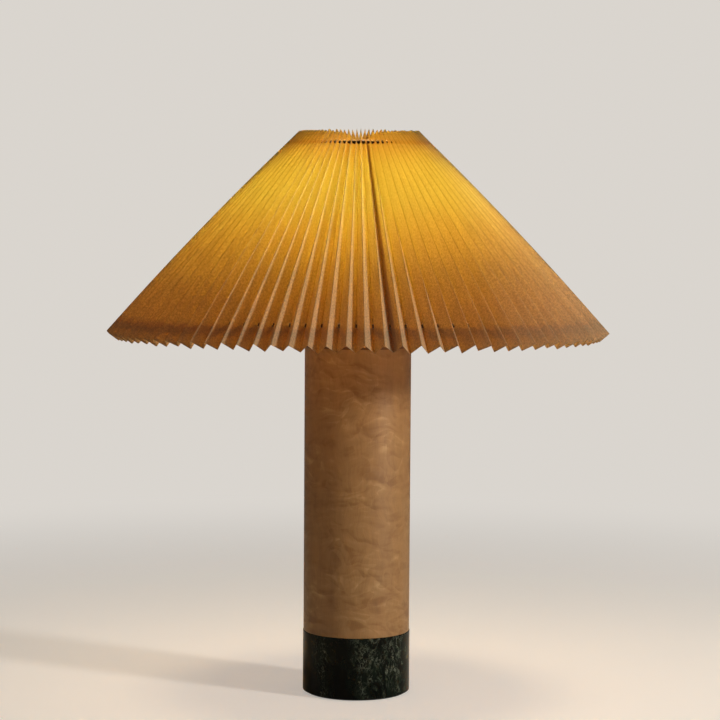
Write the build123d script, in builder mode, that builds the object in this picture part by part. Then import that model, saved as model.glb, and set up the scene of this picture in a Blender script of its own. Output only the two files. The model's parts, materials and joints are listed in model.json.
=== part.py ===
from build123d import *
import os
from math import atan2, cos, hypot, pi, radians, sin, sqrt, tan

# A table lamp: a marble foot, a veneered wooden column, and a pleated shade carried on a harp
# over a turn-switch socket. Millimetres. +Z is up, the front faces -Y, and the origin is the
# middle of the felt's underside, where the lamp stands on a table.

# Clearances
glue_gap = 0.1  # between pieces that are glued, pressed or clamped round each other
slip_gap = 0.3  # between pieces that slide or turn on each other
running_gap = 0.08  # round a shaft, rivet or wire in its close hole, on the radius
thread_gap = 0.2  # between a plain-modelled screw and its nut, on the radius
pipe_room = 0.7  # round the pipe where it passes through stone or wood, on the radius
cut_over = 2.0  # how far a cut runs past the face that it opens

# Foot
felt_diameter = 101.0
felt_thickness = 1.5
marble_diameter = 107.4
marble_height = 60.7
marble_edge = 0.8
recess_diameter = 62.0
recess_depth = 24.0

# Cord inlet at the back of the foot
cord_bore = 7.4
bushing_wall = 2.2
bushing_lip = 2.1
bushing_flange_thickness = 2.5
bushing_flange_sunk = 1.5
bushing_edge = 0.8
inlet_height = 11.0

# Column
column_diameter = 106.4
column_height = 287.8
veneer_thickness = 0.6
core_wall = 9.0
plug_thickness = 18.0
column_cap_thickness = 3.0
column_cap_edge = 0.8

# Threaded pipe with the washers and nuts that clamp the stack
pipe_diameter = 9.6
pipe_bore = 6.6
pipe_tail = 3.0
base_washer_diameter = 44.0
base_washer_thickness = 2.5
lock_washer_diameter = 18.0
lock_washer_thickness = 1.4
base_nut_flats = 16.0
base_nut_thickness = 6.0
check_ring_diameter = 30.0
check_ring_thickness = 2.0
check_ring_edge = 0.6
saddle_nut_flats = 14.0
saddle_nut_thickness = 4.5

# Turn-switch socket
socket_wall = 0.9
socket_hub_diameter = 15.0
socket_hub_height = 10.0
socket_dome_start = 6.0
socket_dome_height = 8.0
socket_cap_diameter = 39.0
socket_cap_height = 23.0
shell_overlap = 5.0
shell_height = 42.0
shell_bead = 1.0
liner_wall = 0.8
body_diameter = 28.0
body_skirt = 3.0
body_flange = 2.0
body_roof = 1.4
set_screw_diameter = 3.4
set_screw_height = 3.0
set_screw_stand = 2.0
terminal_shank = 3.0
terminal_head = 5.6
terminal_head_thickness = 1.8
terminal_depth = 4.0
terminal_height = 2.8
shaft_diameter = 4.0
shaft_rise = 3.6
shaft_tail = 3.0
cam_side = 6.6
cam_corner = 1.1
cam_length = 8.0
knob_diameter = 12.5
knob_length = 15.0
knob_stand = 2.0
knob_flutes = 12
knob_flute_diameter = 1.4
knob_edge = 0.8
shaft_hold = 9.0

# Screw thread of the bulb, modelled as rings
thread_pitch = 3.6
thread_rib = 0.7
thread_rings = 4
thread_metal = 0.4
contact_width = 6.0
contact_length = 14.0
contact_thickness = 0.6
contact_height = 2.6

# Bulb
bulb_length = 110.0
globe_diameter = 60.0
glass_wall = 0.8
cap_crest_diameter = 25.8
cap_height = 21.0
cap_insulator_height = 5.0
eyelet_diameter = 9.6
eyelet_height = 1.5
neck_above_cap = 3.0
neck_in_cap = 8.0
stem_diameter = 6.0
stem_disc_diameter = 18.0
stem_disc_thickness = 1.2
stem_disc_height = 20.0
filament_count = 6
filament_diameter = 2.2
filament_length = 32.0
filament_circle = 13.0

# Harp
harp_wire_diameter = 3.5
harp_headroom = 33.6
harp_leg_room = 6.0
harp_bow_room = 28.0
harp_flare_rise = 38.0
harp_shoulder_drop = 39.5
harp_crown_width = 60.0
harp_knee_radius = 50.0
harp_shoulder_radius = 40.0
harp_crown_radius = 25.0
saddle_width = 10.0
saddle_thickness = 1.6
saddle_hub_diameter = 24.0
lap_rise = 7.4
lap_length = 12.0
lap_gap = 0.2
ferrule_length = 16.0
ferrule_diameter = 6.5
ferrule_travel = 14.0
pad_diameter = 13.0
pad_thickness = 2.6
rivet_diameter = 4.2
rivet_head_diameter = 7.6
rivet_head_thickness = 1.4
seat_diameter = 22.0
seat_thickness = 2.4
stud_diameter = 6.3
stud_length = 8.0

# Finial
finial_foot_diameter = 14.0
finial_foot_height = 1.6
finial_waist_diameter = 10.0
finial_waist_height = 2.2
finial_crown_diameter = 13.0
finial_height = 10.2
finial_bore_spare = 0.6

# Pleated shade
pleat_count = 92
pleat_face = 14.1
sheet_thickness = 0.4
shade_bottom_diameter = 500.0
shade_top_diameter = 120.4
shade_rise = 198.4
shade_above_seat = 19.9
shade_bulge = 3.0
bulge_share = 0.5
rim_rake = 38.0
first_fold_angle = 1.44

# Shade frame
ring_wire_diameter = 3.6
top_ring_margin = 4.0
bottom_ring_margin = 33.0
spider_arm_count = 3
spider_arm_diameter = 3.0
spider_arm_root = 6.3
spider_arm_drop = 0.5
spider_hub_diameter = 22.0
spider_hub_thickness = 1.5

# Radii and heights worked out from the sizes above
pipe_radius = pipe_diameter / 2
pipe_hole_radius = pipe_radius + pipe_room
nut_bore_radius = pipe_radius + thread_gap
marble_bottom = felt_thickness
marble_top = marble_bottom + marble_height
recess_top = marble_bottom + recess_depth
marble_radius = marble_diameter / 2
column_top = marble_top + column_height
core_top = column_top - column_cap_thickness
veneer_bore = column_diameter / 2 - veneer_thickness
core_radius = veneer_bore - glue_gap
core_bore = core_radius - core_wall
check_ring_top = column_top + check_ring_thickness
saddle_top = check_ring_top + saddle_thickness
socket_bottom = saddle_top + saddle_nut_thickness
pipe_top = socket_bottom + socket_hub_height
base_washer_bottom = recess_top - base_washer_thickness
lock_washer_bottom = base_washer_bottom - lock_washer_thickness
base_nut_bottom = lock_washer_bottom - base_nut_thickness
pipe_bottom = base_nut_bottom - pipe_tail


def ring(bottom, height, outer_radius, inner_radius):
    """A plain ring, tube or washer on the lamp's axis."""
    with BuildPart() as piece:
        with BuildSketch(Plane.XY.offset(bottom)):
            Circle(outer_radius)
            Circle(inner_radius, mode=Mode.SUBTRACT)
        extrude(amount=height)
    return piece


def hex_nut(bottom, height, across_flats):
    """A hexagon nut on the threaded pipe."""
    with BuildPart() as piece:
        with BuildSketch(Plane.XY.offset(bottom)):
            RegularPolygon(across_flats / 2, 6, major_radius=False)
            Circle(nut_bore_radius, mode=Mode.SUBTRACT)
        extrude(amount=height)
    return piece


def turned(outline):
    """A turned piece: a closed outline of (radius, height) points spun round the axis."""
    with BuildPart() as piece:
        with BuildSketch(Plane.XZ):
            with BuildLine():
                Polyline(*outline, close=True)
            make_face()
        revolve(axis=Axis.Z)
    return piece


def ribbed_sleeve(bottom, height, inner_radius):
    """A rolled sheet-metal screw sleeve, ribbed outwards from its inner radius."""
    start = bottom + (height - thread_rings * thread_pitch) / 2
    inside = [(inner_radius, bottom)]
    for rib in range(thread_rings):
        foot = start + rib * thread_pitch
        inside.append((inner_radius, foot))
        inside.append((inner_radius + thread_rib, foot + thread_pitch / 2))
    inside.append((inner_radius, start + thread_rings * thread_pitch))
    inside.append((inner_radius, bottom + height))
    outside = [(radius + thread_metal, level) for radius, level in reversed(inside)]
    return turned(inside + outside)


# Foot: felt, marble block and the bushed cord inlet
felt_pad = turned(
    [
        (0, 0),
        (felt_diameter / 2, 0),
        (felt_diameter / 2, felt_thickness),
        (0, felt_thickness),
    ]
)

bushing_radius = cord_bore / 2 + bushing_wall
flange_radius = bushing_radius + bushing_lip
inlet_level = marble_bottom + inlet_height
wall_at_inlet = marble_radius - recess_diameter / 2
inlet_face = Plane(origin=(0, marble_radius, inlet_level), x_dir=(1, 0, 0), z_dir=(0, 1, 0))
inlet_seat = inlet_face.offset(-bushing_flange_sunk)

with BuildPart() as marble_base:
    with BuildSketch(Plane.XY.offset(marble_bottom)):
        Circle(marble_radius)
    extrude(amount=marble_height)
    fillet(marble_base.edges().filter_by(GeomType.CIRCLE), marble_edge)
    with BuildSketch(Plane.XY.offset(marble_bottom)):
        Circle(recess_diameter / 2)
    extrude(amount=recess_depth, mode=Mode.SUBTRACT)
    with BuildSketch(Plane.XY.offset(recess_top)):
        Circle(pipe_hole_radius)
    extrude(amount=marble_height - recess_depth, mode=Mode.SUBTRACT)
    with BuildSketch(inlet_seat):
        Circle(flange_radius + slip_gap)
    extrude(amount=bushing_flange_sunk + cut_over, mode=Mode.SUBTRACT)
    with BuildSketch(inlet_seat):
        Circle(bushing_radius + glue_gap)
    extrude(amount=-(wall_at_inlet + cut_over), mode=Mode.SUBTRACT)

with BuildPart() as cord_bushing:
    with BuildSketch(inlet_seat):
        Circle(flange_radius)
    extrude(amount=bushing_flange_thickness)
    fillet(cord_bushing.edges().group_by(Axis.Y)[-1], bushing_edge)
    with BuildSketch(inlet_seat):
        Circle(bushing_radius)
    extrude(amount=-(wall_at_inlet - bushing_flange_sunk))
    with Locations(inlet_seat.offset(bushing_flange_thickness)):
        Hole(cord_bore / 2)

# Threaded pipe and the clamp under the foot
threaded_pipe = ring(pipe_bottom, pipe_top - pipe_bottom, pipe_radius, pipe_bore / 2)
base_washer = ring(
    base_washer_bottom, base_washer_thickness, base_washer_diameter / 2, nut_bore_radius
)
lock_washer = ring(
    lock_washer_bottom, lock_washer_thickness, lock_washer_diameter / 2, nut_bore_radius
)
base_nut = hex_nut(base_nut_bottom, base_nut_thickness, base_nut_flats)

# Column: a wooden tube with end plugs, wrapped in veneer and closed by a veneered cap
column_core = ring(marble_top, core_top - marble_top, core_radius, core_bore)
column_veneer = ring(marble_top, core_top - marble_top, column_diameter / 2, veneer_bore)
bottom_plug = ring(marble_top, plug_thickness, core_bore - glue_gap, pipe_hole_radius)
top_plug = ring(
    core_top - plug_thickness, plug_thickness, core_bore - glue_gap, pipe_hole_radius
)

with BuildPart() as column_cap:
    with BuildSketch(Plane.XY.offset(core_top)):
        Circle(column_diameter / 2)
    extrude(amount=column_cap_thickness)
    fillet(column_cap.edges().group_by(Axis.Z)[-1], column_cap_edge)
    with Locations((0, 0, column_top)):
        Hole(pipe_hole_radius)

with BuildPart() as check_ring:
    with BuildSketch(Plane.XY.offset(column_top)):
        Circle(check_ring_diameter / 2)
    extrude(amount=check_ring_thickness)
    fillet(check_ring.edges().group_by(Axis.Z)[-1], check_ring_edge)
    with Locations((0, 0, check_ring_top)):
        Hole(nut_bore_radius)

saddle_nut = hex_nut(saddle_top, saddle_nut_thickness, saddle_nut_flats)

# Socket: cap, shell, liner and body
cap_radius = socket_cap_diameter / 2
cap_bore = cap_radius - socket_wall
hub_radius = socket_hub_diameter / 2
cap_top = socket_bottom + socket_cap_height
dome_bottom = socket_bottom + socket_dome_start
dome_top = dome_bottom + socket_dome_height
set_screw_level = socket_bottom + set_screw_height
shell_bottom = cap_top - shell_overlap
shell_top = shell_bottom + shell_height
shell_radius = cap_bore - glue_gap
liner_radius = shell_radius - socket_wall - glue_gap
liner_bore = liner_radius - liner_wall
liner_top = shell_top - shell_bead
shaft_level = cap_top + shaft_rise
shaft_radius = shaft_diameter / 2
shaft_hole = shaft_radius + slip_gap
cam_room = cam_side / sqrt(2) + slip_gap
body_radius = body_diameter / 2
body_bottom = shell_bottom - body_skirt
body_top = shaft_level + cam_room + body_roof
set_screw_plane = Plane(origin=(0, 0, set_screw_level), x_dir=(0, 1, 0), z_dir=(1, 0, 0))
shaft_plane = Plane(origin=(0, 0, shaft_level), x_dir=(1, 0, 0), z_dir=(0, -1, 0))

with BuildPart() as socket_cap:
    with BuildSketch(Plane.XZ):
        with BuildLine():
            Polyline(
                (nut_bore_radius, socket_bottom),
                (hub_radius, socket_bottom),
                (hub_radius, dome_bottom),
                (cap_radius, dome_top),
                (cap_radius, cap_top),
                (cap_bore, cap_top),
                (cap_bore, dome_top + socket_wall),
                (hub_radius, dome_bottom + socket_wall),
                (hub_radius, pipe_top),
                (nut_bore_radius, pipe_top),
                close=True,
            )
        make_face()
    revolve(axis=Axis.Z)
    with BuildSketch(set_screw_plane):
        Circle(set_screw_diameter / 2 + glue_gap)
    extrude(amount=hub_radius + cut_over, mode=Mode.SUBTRACT)

with BuildPart() as socket_set_screw:
    with BuildSketch(set_screw_plane.offset(pipe_radius + glue_gap)):
        Circle(set_screw_diameter / 2)
    extrude(amount=hub_radius - pipe_radius + set_screw_stand)

with BuildPart() as socket_shell:
    with BuildSketch(Plane.XY.offset(shell_bottom)):
        Circle(shell_radius)
    extrude(amount=shell_height)
    with Locations((0, 0, shell_top - shell_bead)):
        Torus(shell_radius, shell_bead)
    with Locations((0, 0, shell_top)):
        Hole(shell_radius - socket_wall)
    with BuildSketch(shaft_plane):
        Circle(shaft_hole)
    extrude(amount=shell_radius + cut_over, mode=Mode.SUBTRACT)

with BuildPart() as socket_liner:
    with BuildSketch(Plane.XY.offset(shell_bottom)):
        Circle(liner_radius)
        Circle(liner_bore, mode=Mode.SUBTRACT)
    extrude(amount=liner_top - shell_bottom)
    with BuildSketch(shaft_plane):
        Circle(shaft_hole)
    extrude(amount=liner_radius + cut_over, mode=Mode.SUBTRACT)

terminal_level = shell_bottom + body_flange + terminal_height

with BuildPart() as socket_body:
    with BuildSketch(Plane.XY.offset(body_bottom)):
        Circle(body_radius)
    extrude(amount=body_top - body_bottom)
    with BuildSketch(Plane.XY.offset(shell_bottom)):
        Circle(liner_bore - glue_gap)
    extrude(amount=body_flange)
    with BuildSketch(shaft_plane):
        Circle(cam_room)
    extrude(amount=cam_length / 2 + slip_gap, both=True, mode=Mode.SUBTRACT)
    with BuildSketch(shaft_plane.offset(-(cam_length / 2 + shaft_tail + slip_gap))):
        Circle(shaft_radius + running_gap)
    extrude(amount=body_diameter, mode=Mode.SUBTRACT)
    with BuildSketch(Plane.YZ.offset(-body_radius)):
        with Locations((0, terminal_level)):
            Circle(terminal_shank / 2 + glue_gap)
    extrude(amount=terminal_depth + glue_gap, mode=Mode.SUBTRACT)
    with BuildSketch(Plane.YZ.offset(body_radius)):
        with Locations((0, terminal_level)):
            Circle(terminal_shank / 2 + glue_gap)
    extrude(amount=-(terminal_depth + glue_gap), mode=Mode.SUBTRACT)

with BuildPart() as terminal_screws:
    for side in (-1, 1):
        with BuildSketch(Plane.YZ.offset(side * (body_radius - terminal_depth))):
            with Locations((0, terminal_level)):
                Circle(terminal_shank / 2)
        extrude(amount=side * terminal_depth)
        with BuildSketch(Plane.YZ.offset(side * body_radius)):
            with Locations((0, terminal_level)):
                Circle(terminal_head / 2)
        extrude(amount=side * terminal_head_thickness)

# Turn switch: shaft, cam and fluted knob on the shaft's axis
knob_start = cap_radius + knob_stand

with BuildPart() as switch_shaft:
    with BuildSketch(shaft_plane.offset(-(cam_length / 2 + shaft_tail))):
        Circle(shaft_radius)
    extrude(amount=cam_length / 2 + shaft_tail + knob_start + shaft_hold)

with BuildPart() as switch_cam:
    with BuildSketch(shaft_plane):
        RectangleRounded(cam_side, cam_side, cam_corner)
        Circle(shaft_radius + glue_gap, mode=Mode.SUBTRACT)
    extrude(amount=cam_length / 2, both=True)

with BuildPart() as switch_knob:
    with BuildSketch(shaft_plane.offset(knob_start)):
        Circle(knob_diameter / 2)
        with PolarLocations(knob_diameter / 2, knob_flutes):
            Circle(knob_flute_diameter / 2, mode=Mode.SUBTRACT)
    extrude(amount=knob_length)
    chamfer(switch_knob.edges().group_by(Axis.Y)[0], knob_edge)
    with BuildSketch(shaft_plane.offset(knob_start)):
        Circle(shaft_radius + glue_gap)
    extrude(amount=shaft_hold + glue_gap, mode=Mode.SUBTRACT)

# Screw shell and the sprung contact at its floor
screw_bore = cap_crest_diameter / 2 + slip_gap
screw_shell = ribbed_sleeve(body_top, liner_top - body_top, screw_bore)

with BuildPart() as centre_contact:
    with BuildSketch(Plane.XZ):
        with BuildLine():
            Polyline(
                (-contact_length / 2, body_top),
                (-contact_width / 2, body_top),
                (0, body_top + contact_height - contact_thickness),
                (contact_width / 2, body_top),
                (contact_length / 2, body_top),
                (contact_length / 2, body_top + contact_thickness),
                (contact_width / 2, body_top + contact_thickness),
                (0, body_top + contact_height),
                (-contact_width / 2, body_top + contact_thickness),
                (-contact_length / 2, body_top + contact_thickness),
                close=True,
            )
        make_face()
    extrude(amount=contact_width / 2, both=True)

# Bulb: contact eyelet, black insulator, screw cap, glass and the lit filaments on their stem
bulb_bottom = body_top + contact_height + glue_gap
eyelet_top = bulb_bottom + eyelet_height
bulb_cap_bottom = eyelet_top + cap_insulator_height
bulb_cap_top = bulb_cap_bottom + cap_height
bulb_top = bulb_bottom + bulb_length
bulb_cap_bore = cap_crest_diameter / 2 - thread_rib - thread_metal
eyelet_radius = eyelet_diameter / 2

bulb_eyelet = turned(
    [(0, bulb_bottom), (eyelet_radius, bulb_bottom), (eyelet_radius, eyelet_top), (0, eyelet_top)]
)
bulb_insulator = turned(
    [
        (0, eyelet_top),
        (eyelet_radius, eyelet_top),
        (bulb_cap_bore, bulb_cap_bottom),
        (0, bulb_cap_bottom),
    ]
)
bulb_cap = ribbed_sleeve(bulb_cap_bottom, cap_height, bulb_cap_bore)

globe_radius = globe_diameter / 2
globe_level = bulb_top - globe_radius
neck_radius = bulb_cap_bore - glue_gap
neck_bottom = bulb_cap_top - neck_in_cap
neck_top = bulb_cap_top + neck_above_cap
neck_to_globe = globe_level - neck_top
flare_radius = (neck_radius**2 + neck_to_globe**2 - globe_radius**2) / (
    2 * (globe_radius - neck_radius)
)
flare_centre = (neck_radius + flare_radius, neck_top)
meeting_angle = atan2(neck_to_globe, -flare_centre[0])


def from_centre(centre, radius, angle):
    """The point at a radius and an angle from a centre, in the (radius, height) plane."""
    return (centre[0] + radius * cos(angle), centre[1] + radius * sin(angle))


with BuildPart() as bulb_glass:
    for inset, blend in ((0, Mode.ADD), (glass_wall, Mode.SUBTRACT)):
        flare = flare_radius + inset
        globe = globe_radius - inset
        globe_start = meeting_angle - pi
        with BuildSketch(Plane.XZ):
            with BuildLine():
                foot = (neck_radius - inset, neck_bottom)
                bend = (neck_radius - inset, neck_top)
                meeting = from_centre(flare_centre, flare, meeting_angle)
                crown = (0, globe_level + globe)
                Line((0, neck_bottom), foot)
                Line(foot, bend)
                ThreePointArc(
                    bend, from_centre(flare_centre, flare, (pi + meeting_angle) / 2), meeting
                )
                ThreePointArc(
                    meeting,
                    from_centre((0, globe_level), globe, (globe_start + pi / 2) / 2),
                    crown,
                )
                Line(crown, (0, neck_bottom))
            make_face()
        revolve(axis=Axis.Z, mode=blend)

stem_radius = stem_diameter / 2
stem_disc_radius = stem_disc_diameter / 2
lower_disc = bulb_cap_top + stem_disc_height
lower_disc_top = lower_disc + stem_disc_thickness
upper_disc = lower_disc_top + filament_length
upper_disc_top = upper_disc + stem_disc_thickness
stem_flare = neck_radius - glass_wall - glue_gap

bulb_stem = turned(
    [
        (0, neck_bottom),
        (stem_flare, neck_bottom),
        (stem_flare, neck_bottom + stem_disc_thickness),
        (stem_radius, bulb_cap_top),
        (stem_radius, lower_disc),
        (stem_disc_radius, lower_disc),
        (stem_disc_radius, lower_disc_top),
        (stem_radius, lower_disc_top),
        (stem_radius, upper_disc),
        (stem_disc_radius, upper_disc),
        (stem_disc_radius, upper_disc_top),
        (0, upper_disc_top),
    ]
)

with BuildPart() as bulb_filaments:
    with BuildSketch(Plane.XY.offset(lower_disc_top)):
        with PolarLocations(filament_circle / 2, filament_count):
            Circle(filament_diameter / 2)
    extrude(amount=filament_length)

# Harp: saddle under the socket, bow with lapped legs, sliding ferrules and swivel seat
harp_wire_radius = harp_wire_diameter / 2
harp_leg_x = globe_radius + harp_leg_room
harp_bow_x = globe_radius + harp_bow_room
harp_top = bulb_top + harp_headroom
lap_bottom = saddle_top + lap_rise
lap_top = lap_bottom + lap_length
ferrule_bottom = lap_bottom + lap_length / 2 - ferrule_length / 2
knee_turn = atan2(harp_bow_x - harp_leg_x, harp_flare_rise)
knee_start = ferrule_bottom + ferrule_length + ferrule_travel + slip_gap
knee_level = knee_start + harp_knee_radius * tan(knee_turn / 2)

with BuildPart() as harp_saddle:
    with BuildSketch(Plane.XY.offset(check_ring_top)):
        SlotCenterToCenter(2 * harp_leg_x, saddle_width)
        Circle(saddle_hub_diameter / 2)
        Circle(nut_bore_radius, mode=Mode.SUBTRACT)
    extrude(amount=saddle_thickness)
    with BuildSketch(Plane.XY.offset(saddle_top)):
        with GridLocations(2 * harp_leg_x, 0, 2, 1):
            Circle(harp_wire_radius)
    extrude(amount=lap_top - saddle_top)
    with BuildSketch(Plane.XY.offset(lap_bottom)):
        with GridLocations(2 * harp_leg_x - harp_wire_diameter + lap_gap, 0, 2, 1):
            Rectangle(harp_wire_diameter, 2 * harp_wire_diameter)
    extrude(amount=lap_length + cut_over, mode=Mode.SUBTRACT)

right_leg = [
    (harp_leg_x, lap_bottom + lap_gap),
    (harp_leg_x, knee_level),
    (harp_bow_x, knee_level + harp_flare_rise),
    (harp_bow_x, harp_top - harp_shoulder_drop),
    (harp_crown_width / 2, harp_top),
]
left_leg = [(-x, level) for x, level in reversed(right_leg)]
bend_radii = [harp_knee_radius, harp_knee_radius, harp_shoulder_radius, harp_crown_radius]

with BuildPart() as harp_wire:
    with BuildLine(Plane.XZ):
        bow = FilletPolyline(*right_leg, *left_leg, radius=bend_radii + bend_radii[::-1])
    with BuildSketch(Plane(origin=bow @ 0, z_dir=bow % 0)):
        Circle(harp_wire_radius)
    sweep()
    with BuildSketch(Plane.XY.offset(harp_top - pad_thickness / 2)):
        Circle(pad_diameter / 2)
    extrude(amount=pad_thickness)
    with BuildSketch(Plane.XY.offset(harp_top + pad_thickness / 2)):
        Circle(seat_diameter / 2 + slip_gap)
    extrude(amount=harp_wire_diameter, mode=Mode.SUBTRACT)
    with BuildSketch(Plane.XY.offset(harp_top - pad_thickness / 2)):
        Circle(rivet_head_diameter / 2 + slip_gap)
    extrude(amount=-harp_wire_diameter, mode=Mode.SUBTRACT)
    with Locations((0, 0, harp_top)):
        Hole(rivet_diameter / 2 + running_gap)
    with BuildSketch(Plane.XY.offset(lap_bottom)):
        with GridLocations(2 * harp_leg_x + harp_wire_diameter - lap_gap, 0, 2, 1):
            Rectangle(harp_wire_diameter, 2 * harp_wire_diameter)
    extrude(amount=lap_length + lap_gap, mode=Mode.SUBTRACT)


def ferrule(x):
    """A short sleeve that locks one lapped leg of the harp to the saddle."""
    with BuildPart() as piece:
        with BuildSketch(Plane(origin=(x, 0, ferrule_bottom))):
            Circle(ferrule_diameter / 2)
            Circle(harp_wire_radius + running_gap, mode=Mode.SUBTRACT)
        extrude(amount=ferrule_length)
    return piece


ferrule_left = ferrule(-harp_leg_x)
ferrule_right = ferrule(harp_leg_x)

pad_top = harp_top + pad_thickness / 2
pad_bottom = harp_top - pad_thickness / 2
seat_bottom = pad_top + slip_gap
seat_top = seat_bottom + seat_thickness
rivet_head_top = pad_bottom - slip_gap
stud_radius = stud_diameter / 2

harp_seat = turned(
    [
        (0, rivet_head_top - rivet_head_thickness),
        (rivet_head_diameter / 2, rivet_head_top - rivet_head_thickness),
        (rivet_head_diameter / 2, rivet_head_top),
        (rivet_diameter / 2, rivet_head_top),
        (rivet_diameter / 2, seat_bottom),
        (seat_diameter / 2, seat_bottom),
        (seat_diameter / 2, seat_top),
        (stud_radius, seat_top),
        (stud_radius, seat_top + stud_length),
        (0, seat_top + stud_length),
    ]
)

# Shade: fold lines from rim to rim, then the pleated sheet between them
half_pleat = pi / pleat_count
rake = radians(rim_rake)
outer_top = (shade_top_diameter / 2, seat_top + shade_above_seat)
outer_bottom = (shade_bottom_diameter / 2, outer_top[1] - shade_rise)
fold_run = outer_bottom[0] - outer_top[0]
fold_length = hypot(fold_run, shade_rise)
lean = shade_rise / fold_length
flatness = fold_run / fold_length


def inner_end(outer):
    """Where the inner fold ends beside an outer one: the pleat's face sets how deep it lies."""
    depth = sqrt(pleat_face**2 - (outer[0] * half_pleat) ** 2)
    return (outer[0] - depth * cos(rake), outer[1] - depth * sin(rake))


outer_fold = (outer_bottom, outer_top)
inner_fold = (inner_end(outer_bottom), inner_end(outer_top))


def fold_point(fold, share):
    """The (radius, height) point at a share of a fold, which bulges a little in the middle."""
    low, high = fold
    bulge = shade_bulge * min(share / bulge_share, (1 - share) / (1 - bulge_share))
    radius = low[0] + (high[0] - low[0]) * share + bulge * lean
    level = low[1] + (high[1] - low[1]) * share + bulge * flatness
    return (radius, level)


def sheet_inset(share):
    """How far inwards the sheet's inside lies at a level, for its thickness square to a face."""
    radius = fold_point(inner_fold, share)[0]
    return sheet_thickness * pleat_face / (radius * half_pleat * lean)


def zigzag(share, inset):
    """The closed zigzag of folds at a share of their length."""
    corners = []
    for fold_number in range(2 * pleat_count):
        fold = outer_fold if fold_number % 2 == 0 else inner_fold
        radius, level = fold_point(fold, share)
        angle = radians(first_fold_angle) + fold_number * half_pleat
        corners.append(((radius - inset) * sin(angle), -(radius - inset) * cos(angle), level))
    with BuildLine() as line:
        Polyline(*corners, close=True)
    return line.wire()


fold_shares = (0, bulge_share, 1)
outside = [zigzag(share, 0) for share in fold_shares]
inside = [zigzag(share, sheet_inset(share)) for share in fold_shares]
bottom_rim = [outside[0], inside[0]]
top_rim = [outside[-1], inside[-1]]
sheet_faces = []
for wires in (outside, inside, bottom_rim, top_rim):
    sheet_faces += Shell.make_loft(wires, ruled=True).faces()

with BuildPart() as pleated_shade:
    add(Solid(Shell(sheet_faces)))

# Shade frame: wire rings inside the inner folds, and the spider welded to the top ring
ring_radius = ring_wire_diameter / 2


def ring_centre(share):
    """The (radius, height) of a wire ring that lies against the inner folds at a share."""
    low, high = (0, bulge_share) if share < bulge_share else (bulge_share, 1)
    within = (share - low) / (high - low)
    inset = sheet_inset(low) + (sheet_inset(high) - sheet_inset(low)) * within
    radius, level = fold_point(inner_fold, share)
    stand_off = ring_radius + slip_gap
    return (radius - inset - stand_off * lean, level - stand_off * flatness)


bottom_ring = ring_centre(bottom_ring_margin / fold_length)
top_ring = ring_centre(1 - top_ring_margin / fold_length)

with BuildPart() as shade_bottom_ring:
    with Locations((0, 0, bottom_ring[1])):
        Torus(bottom_ring[0], ring_radius)

with BuildPart() as shade_spider:
    with BuildSketch(Plane.XY.offset(seat_top)):
        Circle(spider_hub_diameter / 2)
    extrude(amount=spider_hub_thickness)
    for arm_number in range(spider_arm_count):
        turn = pi / 2 + arm_number * 2 * pi / spider_arm_count
        outwards = Vector(cos(turn), sin(turn), 0)
        arm_start = outwards * spider_arm_root + Vector(0, 0, seat_top + spider_arm_diameter / 2)
        arm_end = outwards * top_ring[0] + Vector(0, 0, top_ring[1] - spider_arm_drop)
        with BuildSketch(Plane(origin=arm_start, z_dir=arm_end - arm_start)):
            Circle(spider_arm_diameter / 2)
        extrude(amount=(arm_end - arm_start).length)
    with Locations((0, 0, top_ring[1])):
        Torus(top_ring[0], ring_radius)
    with BuildSketch(Plane.XY.offset(seat_top + spider_hub_thickness)):
        Circle(finial_foot_diameter / 2 + slip_gap)
    extrude(amount=finial_height, mode=Mode.SUBTRACT)
    with BuildSketch(Plane.XY.offset(seat_top)):
        Circle(seat_diameter / 2 + slip_gap)
    extrude(amount=-seat_thickness, mode=Mode.SUBTRACT)
    with Locations((0, 0, seat_top)):
        Hole(stud_radius + slip_gap)

# Finial: a turned knob on the stud, low enough to stay inside the pleats
finial_bottom = seat_top + spider_hub_thickness
finial_foot_top = finial_bottom + finial_foot_height
finial_crown_bottom = finial_foot_top + finial_waist_height
finial_top = finial_bottom + finial_height
finial_bore_top = seat_top + stud_length + finial_bore_spare
crown_rise = finial_top - finial_crown_bottom
crown_edge_radius = finial_crown_diameter / 2
crown_radius = (crown_edge_radius**2 + crown_rise**2) / (2 * crown_rise)
crown_centre = (0, finial_top - crown_radius)
crown_start = atan2(finial_crown_bottom - crown_centre[1], crown_edge_radius)
finial_bore = stud_radius + thread_gap

with BuildPart() as finial:
    with BuildSketch(Plane.XZ):
        with BuildLine():
            crown_edge = (crown_edge_radius, finial_crown_bottom)
            Polyline(
                (0, finial_bore_top),
                (finial_bore, finial_bore_top),
                (finial_bore, finial_bottom),
                (finial_foot_diameter / 2, finial_bottom),
                (finial_foot_diameter / 2, finial_foot_top),
                (finial_waist_diameter / 2, finial_foot_top),
                (finial_waist_diameter / 2, finial_crown_bottom),
                crown_edge,
            )
            crown_middle = from_centre(crown_centre, crown_radius, (crown_start + pi / 2) / 2)
            ThreePointArc(crown_edge, crown_middle, (0, finial_top))
            Line((0, finial_top), (0, finial_bore_top))
        make_face()
    revolve(axis=Axis.Z)

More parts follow.
